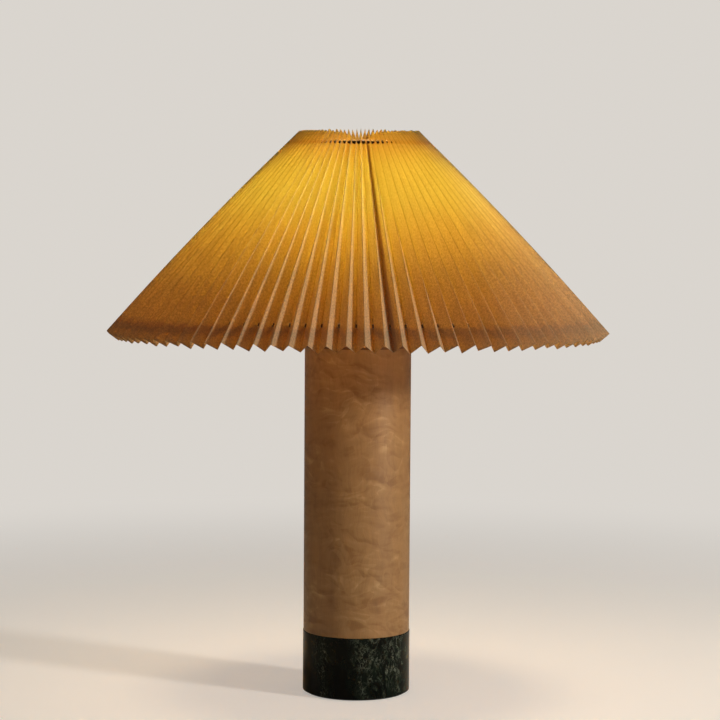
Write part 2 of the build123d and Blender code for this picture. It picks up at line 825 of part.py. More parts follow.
pieces = {
    "felt_pad": felt_pad,
    "marble_base": marble_base,
    "cord_bushing": cord_bushing,
    "threaded_pipe": threaded_pipe,
    "base_washer": base_washer,
    "lock_washer": lock_washer,
    "base_nut": base_nut,
    "column_core": column_core,
    "column_veneer": column_veneer,
    "column_bottom_plug": bottom_plug,
    "column_top_plug": top_plug,
    "column_cap": column_cap,
    "check_ring": check_ring,
    "harp_saddle": harp_saddle,
    "saddle_nut": saddle_nut,
    "socket_cap": socket_cap,
    "socket_set_screw": socket_set_screw,
    "socket_shell": socket_shell,
    "socket_liner": socket_liner,
    "socket_body": socket_body,
    "terminal_screws": terminal_screws,
    "screw_shell": screw_shell,
    "centre_contact": centre_contact,
    "switch_shaft": switch_shaft,
    "switch_cam": switch_cam,
    "switch_knob": switch_knob,
    "bulb_eyelet": bulb_eyelet,
    "bulb_insulator": bulb_insulator,
    "bulb_cap": bulb_cap,
    "bulb_glass": bulb_glass,
    "bulb_stem": bulb_stem,
    "bulb_filaments": bulb_filaments,
    "harp_wire": harp_wire,
    "ferrule_left": ferrule_left,
    "ferrule_right": ferrule_right,
    "harp_seat": harp_seat,
    "shade_spider": shade_spider,
    "shade_bottom_ring": shade_bottom_ring,
    "pleated_shade": pleated_shade,
    "finial": finial,
}

os.makedirs("parts", exist_ok=True)
for name, piece in pieces.items():
    piece.part.label = name
    export_step(piece.part, f"parts/{name}.step")
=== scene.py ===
import json
import random
from math import cos, hypot, pi, radians, sin, sqrt

import bmesh
import bpy
from mathutils import Matrix, Vector


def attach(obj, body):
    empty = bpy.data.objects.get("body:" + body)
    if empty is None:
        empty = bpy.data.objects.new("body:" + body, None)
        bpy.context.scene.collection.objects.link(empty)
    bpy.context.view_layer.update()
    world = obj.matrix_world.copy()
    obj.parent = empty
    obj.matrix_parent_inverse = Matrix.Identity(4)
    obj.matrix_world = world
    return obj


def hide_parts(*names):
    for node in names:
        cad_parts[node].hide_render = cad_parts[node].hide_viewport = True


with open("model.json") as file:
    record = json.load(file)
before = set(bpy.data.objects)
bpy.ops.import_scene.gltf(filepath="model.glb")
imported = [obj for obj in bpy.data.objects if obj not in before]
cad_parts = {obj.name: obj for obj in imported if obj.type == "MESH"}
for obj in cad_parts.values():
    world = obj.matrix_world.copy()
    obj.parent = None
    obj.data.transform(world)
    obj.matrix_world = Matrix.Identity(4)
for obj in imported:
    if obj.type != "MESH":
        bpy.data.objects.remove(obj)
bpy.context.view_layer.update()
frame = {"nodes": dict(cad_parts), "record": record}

# A table lamp, lit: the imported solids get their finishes, and the pleated shade is built here as a
# folded sheet with its punched notches. Metres, in the same frame as the solids.

scene = bpy.context.scene
scene.view_settings.view_transform = "Standard"

# Pleated shade, cut as one straight strip and folded
PLEATS = 92
FOLDS = 2 * PLEATS
PLEAT_FACE = 0.0141
SHEET_THICKNESS = 0.0002
HEM_EXTRA = 0.0002
HEM_WIDTH = 0.027
BOTTOM_RADIUS = 0.25
TOP_RADIUS = 0.0602
OUTER_TOP = 0.56127
SHADE_RISE = 0.1984
BULGE = 0.003
RIM_RAKE = radians(38.0)
FIRST_FOLD = radians(1.44)
HALF_PLEAT = pi / PLEATS
FOLD_LENGTH = hypot(BOTTOM_RADIUS - TOP_RADIUS, SHADE_RISE)
LEAN = SHADE_RISE / FOLD_LENGTH
FLATNESS = (BOTTOM_RADIUS - TOP_RADIUS) / FOLD_LENGTH

# Notches at the inner folds, where the wire rings lie: from and to along the fold, and how deep
LOW_NOTCH = (0.0283, 0.0327)
HIGH_NOTCH = (0.2660, 0.2722)
NOTCH_ROUND = 0.0008
LOW_NOTCH_DEPTH = 0.0016
HIGH_NOTCH_DEPTH = 0.0106
HIGH_NOTCH_END_DEPTH = 0.0090

# Grid of the sheet: rows up the fold, columns across a pleat face, and the rounding of outer folds
HEM_ROWS = (0.0, 0.002, 0.008, 0.014, 0.020, 0.026)
ROW_SPACING = 0.010
FOLD_ROUNDING = 0.0010
INNER_STEPS = (LOW_NOTCH_DEPTH, 0.0045, HIGH_NOTCH_END_DEPTH, HIGH_NOTCH_DEPTH)
OUTER_STEPS = (FOLD_ROUNDING, 0.4 * FOLD_ROUNDING)
SLANT = 0.8
SLANT_START = 0.2
SHARP_EDGE = radians(50.0)
CLOSE = 1e-6

# How uneven the hand-pleated sheet is: spreads in metres, and shares of the fold they reach over
SHEET_SEED = 41
SWAY = 0.00045
SWAY_EASE = 0.8
BOW = 0.00035
BELLY = 0.00022
BELLY_AT_RIM = 0.1
RIM_STEP = 0.0004
RIM_STEP_REACH = 0.1
TOP_STEP_REACH = 0.04

# The share of light that the sheet lets through, and its colour then: what it is at the rim, and
# what it turns to further up, between which two places along the fold. The colour darkens and
# reddens towards the rim: painted shade of the bulb's light falling off there
SHINE_SHARE = 0.53
SHINE_AT_RIM = (0.87, 0.585, 0.148)
SHINE_STOPS_PAINTED_FALLOFF = (
    (0.02, 0.125, (0.92, 0.75, 0.23)),
    (0.10, 0.20, (0.82, 0.77, 0.27)),
    (0.225, 0.26, (0.86, 0.735, 0.25)),
)
LOOSE_WEAVE = (1.10, 1.14, 1.22)
DENSE_LOW = (0.56, 0.50, 0.42)
DENSE_HIGH = (0.88, 0.86, 0.80)
DENSE_STOP = (0.06, 0.20)

# Painted shade where the sheet lies deep in a pleat and along its creases; at the rings a painted ring
# shadow, with the doubled lower edge below the lower ring; and the doubled seam
DEEP_PAINTED_SHADE = (0.88, 0.88, 0.89)
DEEP_ACROSS = (0.15 * PLEAT_FACE, 0.6 * PLEAT_FACE)
DEEP_UP = (0.12, 0.20)
CREASE_SHADE_THROUGH = (0.73, 0.67, 0.60)
CREASE_SHADE_OUTSIDE = (0.46, 0.41, 0.36)
CREASE_REACH = (0.00018, 0.0012)
CREASE_UP = (0.04, 0.12)
CREASE_AT_RIM = 0.5
INNER_CREASE = 0.45
INNER_CREASE_ACROSS = (0.4 * PLEAT_FACE, 0.6 * PLEAT_FACE)
DOUBLED_AND_RING_SHADOW = (0.90, 0.79, 0.62)
# Lower ring: painted ring shadow just below its level, and the doubled lower edge, less dark, down to
# the rim
RING_LEVEL = 0.3782
HEM_SHADOW_RISE = (RING_LEVEL - 0.018, RING_LEVEL - 0.006)
HEM_SHADOW_FALL = (RING_LEVEL - 0.004, RING_LEVEL + 0.003)
HEM_AT_RIM = 0.55
# Top ring: painted ring shadow at its level, and a lighter band of painted shade above it
TOP_RING_LEVEL = 0.5485
COLLAR_RISE = (TOP_RING_LEVEL - 0.003, TOP_RING_LEVEL)
COLLAR_FALL = (TOP_RING_LEVEL + 0.001, TOP_RING_LEVEL + 0.004)
COLLAR_AT_TOP = 0.25
SEAM = (0.62, 0.50, 0.44)
SEAM_START = 2.35 * PLEAT_FACE
SEAM_END = 3.55 * PLEAT_FACE
SEAM_RISE = (SEAM_START, SEAM_START + 0.001)
SEAM_FALL = (SEAM_END - 0.002, SEAM_END)

# The sheet's beige in reflected light, where its weave is dense and where it is loose
BEIGE_DENSE = (0.62, 0.47, 0.265)
BEIGE_LOOSE = (0.74, 0.57, 0.335)

# Marble: ground and veins, each from dark to light, and for each size of vein its waves in a metre,
# width and strength
GROUND_DARK = (0.0008, 0.0017, 0.0011)
GROUND_LIGHT = (0.0065, 0.0125, 0.008)
VEIN_DARK = (0.036, 0.056, 0.033)
VEIN_LIGHT = (0.21, 0.232, 0.17)
VEIN_SIZES = ((60.0, 0.013, 1.0), (130.0, 0.020, 0.9), (300.0, 0.034, 0.6))
MARBLE_UPRIGHT = (1.0, 1.0, 0.62)

# Veneer: its three tones, its joint at the back, and for each size of cushion its cells in a metre
# and its share of the figure
COLUMN_RADIUS = 0.0532
VENEER_DARK = (0.295, 0.142, 0.046)
VENEER_MIDDLE = (0.40, 0.214, 0.076)
VENEER_PALE = (0.575, 0.352, 0.150)
JOINT_COLOUR = (0.10, 0.05, 0.018)
JOINT_ANGLES = (pi - 0.009, pi - 0.003)
CUSHION_SIZES = ((38.0, 0.20), (84.0, 0.11))
CUSHION_STRETCH = (0.85, 1.45, 1.0)
CUSHION_LEAN = (0.35, 0.9)
RIDGES_IN_FOLDS = 6.0
# No tint for the column, and a darkening tint for its cap: painted shade over the bulb's light on the
# cap's top
NOT_DARKENED = (1.0, 1.0, 1.0)
CAP_PAINTED_SHADE = (0.38, 0.30, 0.26)

# Bulb
LIT_CLOUD = 0.94
BULB_LIGHT_PLACE = (0.0, 0.0, 0.455)
BULB_LIGHT_RADIUS = 0.024
BULB_LIGHT_WATTS = 4.65
BULB_LIGHT_COLOUR = (1.0, 0.76, 0.46)

# Studio
LAMP_MIDDLE = Vector((0.0, 0.0, 0.33))
KEY_PLACE = (2.01, -1.12, 1.01)
KEY_SIZE = 0.26
KEY_WATTS = 34.0
KEY_COLOUR = (1.0, 0.96, 0.91)
FILL_PLACE = (-2.2, -2.4, 1.9)
FILL_SIZE = 1.8
FILL_WATTS = 3.4
FILL_COLOUR = (1.0, 0.97, 0.94)
AMBIENT = (0.062, 0.060, 0.057)
REFLECTED = (0.22, 0.21, 0.20)
BACKGROUND = (0.70, 0.665, 0.62)
FLOOR_COLOUR = (0.72, 0.69, 0.65)
FLOOR_CLOUD = 0.965
FLOOR_LIFT = 0.55
FLOOR_LEVEL = -0.0004
FLOOR_RADIUS = 9.0
FLOOR_SIDES = 96
FLOOR_FADE = (0.5, 1.5)

# Camera at the photograph's viewpoint
CAMERA_PLACE = (0.0, -2.177, 0.4815)
CAMERA_LENS = 109.1
CAMERA_SENSOR = 36.0
CAMERA_PITCH = radians(90.0 - 3.887)
CAMERA_PAN = radians(-0.0541)
CAMERA_ROLL = radians(0.375)


class Tree:
    """A node tree, with one short call for each kind of node it is built from."""

    def __init__(self, tree):
        self.tree = tree
        self.tree.nodes.clear()

    def node(self, kind, inputs, **settings):
        made = self.tree.nodes.new(kind)
        for key, value in settings.items():
            setattr(made, key, value)
        for key, value in inputs.items():
            self.feed(made.inputs[key], value)
        return made

    def feed(self, socket, value):
        if isinstance(value, bpy.types.NodeSocket):
            self.tree.links.new(value, socket)
        elif socket.type == "RGBA" and len(value) == 3:
            socket.default_value = (*value, 1.0)
        else:
            socket.default_value = value

    def place(self):
        return self.node("ShaderNodeTexCoord", {}).outputs["Object"]

    def calc(self, operation, first, second=0.0):
        return self.node("ShaderNodeMath", {0: first, 1: second}, operation=operation).outputs[0]

    def total(self, first, *others):
        for other in others:
            first = self.calc("ADD", first, other)
        return first

    def product(self, first, *others):
        for other in others:
            first = self.calc("MULTIPLY", first, other)
        return first

    def swing(self, value, share):
        """A value about one half, turned into one about 0 and multiplied by its share."""
        return self.product(self.calc("SUBTRACT", value, 0.5), share)

    def split(self, vector):
        return self.node("ShaderNodeSeparateXYZ", {0: vector}).outputs

    def join(self, x, y, z=0.0):
        return self.node("ShaderNodeCombineXYZ", {0: x, 1: y, 2: z}).outputs[0]

    def vectors(self, operation, first, second):
        made = self.node("ShaderNodeVectorMath", {0: first, 1: second}, operation=operation)
        return made.outputs["Value" if operation == "DOT_PRODUCT" else "Vector"]

    def noise(self, vector, scale, detail=2.0, roughness=0.5, distortion=0.0, output="Fac"):
        inputs = {
            "Vector": vector,
            "Scale": scale,
            "Detail": detail,
            "Roughness": roughness,
            "Distortion": distortion,
        }
        return self.node("ShaderNodeTexNoise", inputs).outputs[output]

    def drawn_noise(self, vector, scales, detail, roughness, distortion=0.0):
        """A noise with a scale of its own along each axis."""
        drawn = self.vectors("MULTIPLY", vector, scales)
        return self.noise(drawn, 1.0, detail, roughness, distortion)

    def bend(self, vector, scale, reach):
        """The place, pushed about by up to about half of reach by a broad noise."""
        drift = self.noise(vector, scale, output="Color")
        drift = self.vectors("ADD", drift, (-0.5, -0.5, -0.5))
        return self.vectors("ADD", vector, self.vectors("MULTIPLY", drift, (reach, reach, reach)))

    def cushions(self, vector, scale):
        """Cells like small cushions, each shaded from its top to its bottom, about 0."""
        inputs = {"Vector": vector, "Scale": scale, "Smoothness": 0.22}
        cells = self.node("ShaderNodeTexVoronoi", inputs, feature="SMOOTH_F1")
        across = self.vectors("SUBTRACT", vector, cells.outputs["Position"])
        lean = (CUSHION_LEAN[0] * scale, CUSHION_LEAN[1] * scale, 0.0)
        return self.vectors("DOT_PRODUCT", across, lean)

    def step(self, value, start, end, low=0.0, high=1.0):
        """A soft step from low to high as the value goes from start to end."""
        inputs = {"Value": value, "From Min": start, "From Max": end, "To Min": low, "To Max": high}
        made = self.node("ShaderNodeMapRange", inputs, interpolation_type="SMOOTHSTEP")
        return made.outputs["Result"]

    def band(self, value, rise, fall, before=0.0, after=0.0):
        """A soft step up to 1 over the rise, and down again over the fall."""
        return self.product(self.step(value, *rise, before, 1.0), self.step(value, *fall, 1.0, after))

    def mix(self, factor, first, second, blend="MIX"):
        inputs = {0: factor, 6: first, 7: second}
        return self.node("ShaderNodeMix", inputs, data_type="RGBA", blend_type=blend).outputs[2]

    def tint(self, colour, by, where=1.0):
        """The colour, multiplied by another one as far as where says."""
        return self.mix(where, colour, by, "MULTIPLY")

    def bump(self, height, distance):
        return self.node("ShaderNodeBump", {"Height": height, "Distance": distance}).outputs["Normal"]

    def principled(self, inputs):
        return self.node("ShaderNodeBsdfPrincipled", inputs).outputs[0]

    def surface(self, shader):
        self.node("ShaderNodeOutputMaterial", {"Surface": shader})


def new_material(name):
    material = bpy.data.materials.new(name)
    material.use_nodes = True
    return material, Tree(material.node_tree)


def grained(name, dark, light, cloud, rough, grain, depth, **sockets):
    """A finish with a cloudy colour and gloss, and a fine grain with a scale for each axis."""
    material, tree = new_material(name)
    place = tree.place()
    clouds = tree.step(tree.noise(place, cloud, detail=4.0, roughness=0.6), 0.35, 0.65)
    lines = tree.drawn_noise(place, grain, detail=3.0, roughness=0.6)
    both = tree.product(tree.total(lines, clouds), 0.5)
    shader = {
        "Base Color": tree.mix(both, dark, light),
        "Roughness": tree.step(both, 0.2, 0.8, *rough),
        "Normal": tree.bump(lines, depth),
    }
    for socket, value in sockets.items():
        shader[socket.replace("_", " ").title()] = value
    tree.surface(tree.principled(shader))
    return material


def marble_material():
    """Near black-green stone with broken, mostly upright pale veins and flecks, polished."""
    material, tree = new_material("marble_finish")
    place = tree.place()
    upright = tree.vectors("MULTIPLY", place, MARBLE_UPRIGHT)
    bent = tree.bend(upright, scale=34.0, reach=0.022)
    bent = tree.bend(bent, scale=150.0, reach=0.008)
    cloud = tree.noise(bent, scale=38.0, detail=6.0, roughness=0.65)
    ground = tree.mix(tree.step(cloud, 0.40, 0.68), GROUND_DARK, GROUND_LIGHT)
    veins = 0.0
    for scale, width, strength in VEIN_SIZES:
        field = tree.noise(bent, scale, detail=4.0, roughness=0.6)
        ridge = tree.calc("ABSOLUTE", tree.calc("SUBTRACT", field, 0.5))
        veins = tree.calc("MAXIMUM", veins, tree.step(ridge, 0.0, width, low=strength, high=0.0))
    flecks = tree.noise(bent, scale=480.0, detail=3.0, roughness=0.6)
    flecks = tree.step(flecks, 0.60, 0.72, high=0.6)
    blotches = tree.noise(bent, scale=120.0, detail=5.0, roughness=0.7)
    blotches = tree.step(blotches, 0.60, 0.74, high=0.75)
    broken = tree.step(tree.noise(bent, scale=170.0, detail=4.0, roughness=0.7), 0.42, 0.60)
    patches = tree.step(tree.noise(upright, scale=21.0, detail=3.0), 0.44, 0.60)
    veins = tree.product(tree.calc("MAXIMUM", veins, flecks), broken)
    veins = tree.product(tree.calc("MAXIMUM", veins, blotches), patches)
    tone = tree.step(tree.noise(place, scale=90.0, detail=3.0), 0.3, 0.7)
    shader = {
        "Base Color": tree.mix(veins, ground, tree.mix(tone, VEIN_DARK, VEIN_LIGHT)),
        "Roughness": tree.step(cloud, 0.3, 0.7, low=0.10, high=0.17),
        "Normal": tree.bump(veins, 0.00002),
        "Specular IOR Level": 0.12,
    }
    tree.surface(tree.principled(shader))
    return material


def veneer_material(name, wrapped, darkening):
    """Honey-coloured veneer with a quilted, folded figure and fine fibres, under a satin lacquer."""
    material, tree = new_material(name)
    x, y, z = tree.split(tree.place())
    if wrapped:
        angle = tree.calc("ARCTAN2", x, tree.product(y, -1.0))
        flat = tree.join(tree.product(angle, COLUMN_RADIUS), z)
        joint = tree.step(tree.calc("ABSOLUTE", angle), *JOINT_ANGLES)
    else:
        flat = tree.join(x, y)
        joint = 0.0
    bent = tree.bend(flat, scale=14.0, reach=0.040)
    bent = tree.bend(bent, scale=60.0, reach=0.005)

    # The figure, about 0: clouds, mottle, cushions, the ridges of folded grain, and ripples
    quilted = tree.step(tree.noise(flat, scale=12.0), 0.36, 0.56, low=0.15)
    clouds = tree.noise(bent, scale=22.0, detail=3.0)
    mottle = tree.noise(bent, scale=80.0, detail=3.0, roughness=0.6, distortion=0.4)
    figure = tree.total(tree.swing(clouds, 0.35), tree.swing(mottle, 0.35))
    for scale, share in CUSHION_SIZES:
        cushions = tree.cushions(tree.vectors("MULTIPLY", bent, CUSHION_STRETCH), scale)
        figure = tree.total(figure, tree.product(cushions, quilted, share))
    folds = tree.drawn_noise(bent, (24.0, 46.0, 1.0), detail=1.5, roughness=0.5, distortion=0.5)
    saw = tree.calc("FRACT", tree.product(folds, RIDGES_IN_FOLDS))
    ridge = tree.calc("SUBTRACT", tree.step(saw, 0.30, 0.98), 0.35)
    figure = tree.total(figure, tree.product(ridge, quilted, 0.12))
    ripples = tree.drawn_noise(bent, (30.0, 120.0, 1.0), detail=3.0, roughness=0.55)
    figure = tree.total(figure, tree.swing(ripples, 0.4))

    fibres = tree.drawn_noise(bent, (1300.0, 46.0, 1.0), detail=3.0, roughness=0.6)
    streaks = tree.drawn_noise(bent, (210.0, 11.0, 1.0), detail=3.0, roughness=0.6)
    lines = tree.product(
        tree.step(fibres, 0.25, 0.75, low=0.91, high=1.06),
        tree.step(streaks, 0.3, 0.7, low=0.95, high=1.04),
    )
    colour = tree.mix(tree.step(figure, -0.22, 0.04), VENEER_DARK, VENEER_MIDDLE)
    colour = tree.mix(tree.step(figure, 0.02, 0.34), colour, VENEER_PALE)
    colour = tree.tint(colour, tree.join(lines, lines, lines))
    # Tinted darker where asked, which on the cap is painted shade
    colour = tree.tint(colour, darkening)
    shader = {
        "Base Color": tree.mix(joint, colour, JOINT_COLOUR),
        "Roughness": tree.step(figure, -0.2, 0.2, low=0.42, high=0.34),
        "Normal": tree.bump(fibres, 0.00005),
        "Coat Weight": 0.2,
        "Coat Roughness": 0.25,
    }
    tree.surface(tree.principled(shader))
    return material


def shade_material():
    """Linen-like sheet: beige in reflected light, amber where the bulb shines through it."""
    material, tree = new_material("shade_linen")
    cut = tree.node("ShaderNodeUVMap", {}, uv_map="cut").outputs["UV"]
    along, up, _ = tree.split(cut)
    level = tree.split(tree.place())[2]
    to_fold = tree.calc("PINGPONG", along, PLEAT_FACE / 2.0)
    to_outer = tree.calc("PINGPONG", along, PLEAT_FACE)

    # Weave, and how far it lets the light through
    warp = tree.drawn_noise(cut, (1200.0, 380.0, 1.0), detail=2.0, roughness=0.6)
    weft = tree.drawn_noise(cut, (380.0, 1200.0, 1.0), detail=2.0, roughness=0.6)
    slubs = tree.drawn_noise(cut, (420.0, 30.0, 1.0), detail=3.0, roughness=0.6)
    weave = tree.total(tree.product(tree.total(warp, weft), 0.4), tree.product(slubs, 0.2))
    loose = tree.step(weave, 0.39, 0.61)
    # The through colour turns brighter and yellower up the fold: painted shade of the bulb's light
    # falling off towards the rim
    through = SHINE_AT_RIM
    for start, end, colour in SHINE_STOPS_PAINTED_FALLOFF:
        through = tree.mix(tree.step(up, start, end), through, colour)
    dense = tree.tint(through, tree.mix(tree.step(up, *DENSE_STOP), DENSE_LOW, DENSE_HIGH))
    through = tree.mix(loose, dense, tree.tint(through, LOOSE_WEAVE))

    # Painted shade deep in the pleats, along the creases and at the rings, with the doubled lower edge
    # and the doubled seam
    deep = tree.product(tree.step(to_outer, *DEEP_ACROSS), tree.step(up, *DEEP_UP))
    crease_shade = tree.product(
        tree.step(to_fold, *CREASE_REACH, low=1.0, high=0.0),
        tree.step(up, *CREASE_UP, low=CREASE_AT_RIM),
        tree.step(to_outer, *INNER_CREASE_ACROSS, low=1.0, high=INNER_CREASE),
    )
    hem_and_ring_shadow = tree.band(level, HEM_SHADOW_RISE, HEM_SHADOW_FALL, before=HEM_AT_RIM)
    seam = tree.band(along, SEAM_RISE, SEAM_FALL)
    collar_ring_shadow = tree.band(level, COLLAR_RISE, COLLAR_FALL, after=COLLAR_AT_TOP)
    tints = ((deep, DEEP_PAINTED_SHADE), (hem_and_ring_shadow, DOUBLED_AND_RING_SHADOW), (crease_shade, CREASE_SHADE_THROUGH), (seam, SEAM), (collar_ring_shadow, DOUBLED_AND_RING_SHADOW))
    for where, tint in tints:
        through = tree.tint(through, tint, where)

    # The beige darkens along the creases: painted shade
    beige = tree.mix(loose, BEIGE_DENSE, BEIGE_LOOSE)
    reflecting = {
        "Base Color": tree.tint(beige, CREASE_SHADE_OUTSIDE, crease_shade),
        "Roughness": 0.75,
        "Specular IOR Level": 0.2,
        "Normal": tree.bump(weave, 0.00015),
    }
    shining = tree.node("ShaderNodeBsdfTranslucent", {"Color": through}).outputs[0]
    both = {0: SHINE_SHARE, 1: tree.principled(reflecting), 2: shining}
    tree.surface(tree.node("ShaderNodeMixShader", both).outputs[0])
    return material


def glowing(name, colour, light, strength, rough):
    """A lit surface with a faint unevenness in its colour and gloss."""
    material, tree = new_material(name)
    cloud = tree.noise(tree.place(), scale=160.0, detail=3.0)
    shader = {
        "Base Color": tree.mix(cloud, colour, tuple(LIT_CLOUD * part for part in colour)),
        "Roughness": tree.step(cloud, 0.3, 0.7, rough, rough + 0.1),
        "Emission Color": light,
        "Emission Strength": strength,
    }
    tree.surface(tree.principled(shader))
    return material


FINISHES = {
    "marble": marble_material(),
    "veneer": veneer_material("veneer_wrapped", True, NOT_DARKENED),
    "felt": grained(
        "felt_finish", dark=(0.018, 0.026, 0.019), light=(0.05, 0.066, 0.05), cloud=90.0,
        rough=(0.9, 1.0), grain=(1500.0, 1500.0, 1500.0), depth=0.0005, sheen_weight=0.4,
    ),
    "core_wood": grained(
        "core_wood_finish", dark=(0.40, 0.27, 0.15), light=(0.62, 0.46, 0.29), cloud=40.0,
        rough=(0.6, 0.8), grain=(420.0, 420.0, 18.0), depth=0.0003,
    ),
    "brass": grained(
        "brass_finish", dark=(0.54, 0.34, 0.12), light=(0.84, 0.62, 0.30), cloud=55.0,
        rough=(0.38, 0.22), grain=(130.0, 130.0, 2600.0), depth=0.00004, metallic=1.0,
    ),
    "steel": grained(
        "steel_finish", dark=(0.42, 0.43, 0.44), light=(0.66, 0.66, 0.65), cloud=70.0,
        rough=(0.45, 0.28), grain=(300.0, 300.0, 1800.0), depth=0.00005, metallic=1.0,
    ),
    "cap_metal": grained(
        "cap_metal_finish", dark=(0.60, 0.60, 0.59), light=(0.82, 0.82, 0.80), cloud=80.0,
        rough=(0.36, 0.2), grain=(200.0, 200.0, 2200.0), depth=0.00004, metallic=1.0,
    ),
    "black_plastic": grained(
        "black_plastic_finish", dark=(0.012, 0.012, 0.012), light=(0.03, 0.029, 0.028), cloud=60.0,
        rough=(0.42, 0.55), grain=(1900.0, 1900.0, 1900.0), depth=0.00012,
    ),
    "phenolic": grained(
        "phenolic_finish", dark=(0.045, 0.022, 0.013), light=(0.11, 0.06, 0.035), cloud=130.0,
        rough=(0.26, 0.38), grain=(900.0, 900.0, 900.0), depth=0.00005,
    ),
    "black_glass": grained(
        "black_glass_finish", dark=(0.006, 0.006, 0.007), light=(0.016, 0.016, 0.018), cloud=100.0,
        rough=(0.08, 0.16), grain=(500.0, 500.0, 500.0), depth=0.00003,
    ),
    "liner_board": grained(
        "liner_board_finish", dark=(0.24, 0.165, 0.09), light=(0.42, 0.31, 0.19), cloud=110.0,
        rough=(0.8, 0.95), grain=(800.0, 800.0, 2200.0), depth=0.00015,
    ),
    "bulb_glass": glowing(
        "bulb_glass_finish", colour=(1.0, 0.95, 0.86), light=(1.0, 0.80, 0.52), strength=1.6, rough=0.3,
    ),
    "filament": glowing(
        "filament_finish", colour=(1.0, 0.78, 0.40), light=(1.0, 0.74, 0.38), strength=6.0, rough=0.6,
    ),
}
SHADE_FINISH = shade_material()

# Nodes that look different from the rest of their slot
NODE_FINISHES = {
    "column_cap": veneer_material("veneer_darkened", False, CAP_PAINTED_SHADE),
    "shade_spider": grained(
        "bronzed_wire_finish", dark=(0.010, 0.0075, 0.006), light=(0.040, 0.028, 0.018), cloud=85.0,
        rough=(0.5, 0.36), grain=(700.0, 700.0, 700.0), depth=0.00005, metallic=0.7,
    ),
    "shade_bottom_ring": grained(
        "bronzed_ring_finish", dark=(0.05, 0.034, 0.020), light=(0.13, 0.085, 0.046), cloud=85.0,
        rough=(0.5, 0.36), grain=(700.0, 700.0, 700.0), depth=0.00005, metallic=0.7,
    ),
}


def finish_nodes():
    """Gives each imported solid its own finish, or else the finish of its slot."""
    for subpart in frame["record"]["subparts"]:
        name = subpart["node"]
        finish = FINISHES.get(subpart["material_slot"], SHADE_FINISH)
        finish = NODE_FINISHES.get(name, finish)
        for material_slot in frame["nodes"][name].material_slots:
            material_slot.material = finish


def fold_ends(outer):
    """The outer and inner fold's (radius, level) at a rim, for the outer fold's end there."""
    depth = sqrt(PLEAT_FACE**2 - (outer[0] * HALF_PLEAT) ** 2)
    return outer, (outer[0] - depth * cos(RIM_RAKE), outer[1] - depth * sin(RIM_RAKE))


BOTTOM_ENDS = fold_ends((BOTTOM_RADIUS, OUTER_TOP - SHADE_RISE))
TOP_ENDS = fold_ends((TOP_RADIUS, OUTER_TOP))


def fold_point(inner, share):
    """The (radius, level) at a share of an outer or inner fold, which bows out a little."""
    low, high = BOTTOM_ENDS[inner], TOP_ENDS[inner]
    bulge = 4.0 * BULGE * share * (1.0 - share)
    radius = low[0] + (high[0] - low[0]) * share + bulge * LEAN
    return radius, low[1] + (high[1] - low[1]) * share + bulge * FLATNESS


def row_places():
    """How far up the fold each row of the sheet's grid lies, close-set at the notches."""
    rows = list(HEM_ROWS)
    for low, high in (LOW_NOTCH, HIGH_NOTCH):
        start = rows[-1]
        if low > start + ROW_SPACING:
            count = round((low - start) / ROW_SPACING)
            rows += [start + (low - start) * n / count for n in range(1, count)]
        rows += [low, low + NOTCH_ROUND, high - NOTCH_ROUND, high]
    return rows + [FOLD_LENGTH]


ROWS = row_places()


def face_steps(from_inner):
    """Shares across one pleat face at which the grid has a column, from its first fold."""
    steps = INNER_STEPS + tuple(PLEAT_FACE - step for step in OUTER_STEPS)
    shares = [step / PLEAT_FACE for step in steps]
    if not from_inner:
        shares = [1.0 - share for share in reversed(shares)]
    return [0.0] + shares


def notch_depth(low, high):
    """How deep the rows between two places along the fold are cut from the inner fold."""
    if LOW_NOTCH[0] - CLOSE < low and high < LOW_NOTCH[1] + CLOSE:
        return LOW_NOTCH_DEPTH
    if HIGH_NOTCH[0] - CLOSE < low and high < HIGH_NOTCH[1] + CLOSE:
        at_end = high - low < 1.5 * NOTCH_ROUND
        return HIGH_NOTCH_END_DEPTH if at_end else HIGH_NOTCH_DEPTH
    return 0.0


def sheet_inset(place):
    """How far inwards the sheet's inside lies at a place, for its thickness square to a face."""
    thickness = SHEET_THICKNESS
    if place < HEM_WIDTH:
        thickness += HEM_EXTRA
    inner_radius = fold_point(1, place / FOLD_LENGTH)[0]
    return thickness * PLEAT_FACE / (inner_radius * HALF_PLEAT * LEAN)


def slanted(row, face, across):
    """A grid point's place along the fold: near the top the rows slope, to lie level there."""
    from_inner = (across if face % 2 == 1 else 1.0 - across) * PLEAT_FACE
    if row > HIGH_NOTCH[1]:
        share = (FOLD_LENGTH - row) / (FOLD_LENGTH - HIGH_NOTCH[1])
    else:
        share = max(0.0, (row - SLANT_START) / (HIGH_NOTCH[0] - SLANT_START))
    return row - SLANT * from_inner * min(1.0, share)


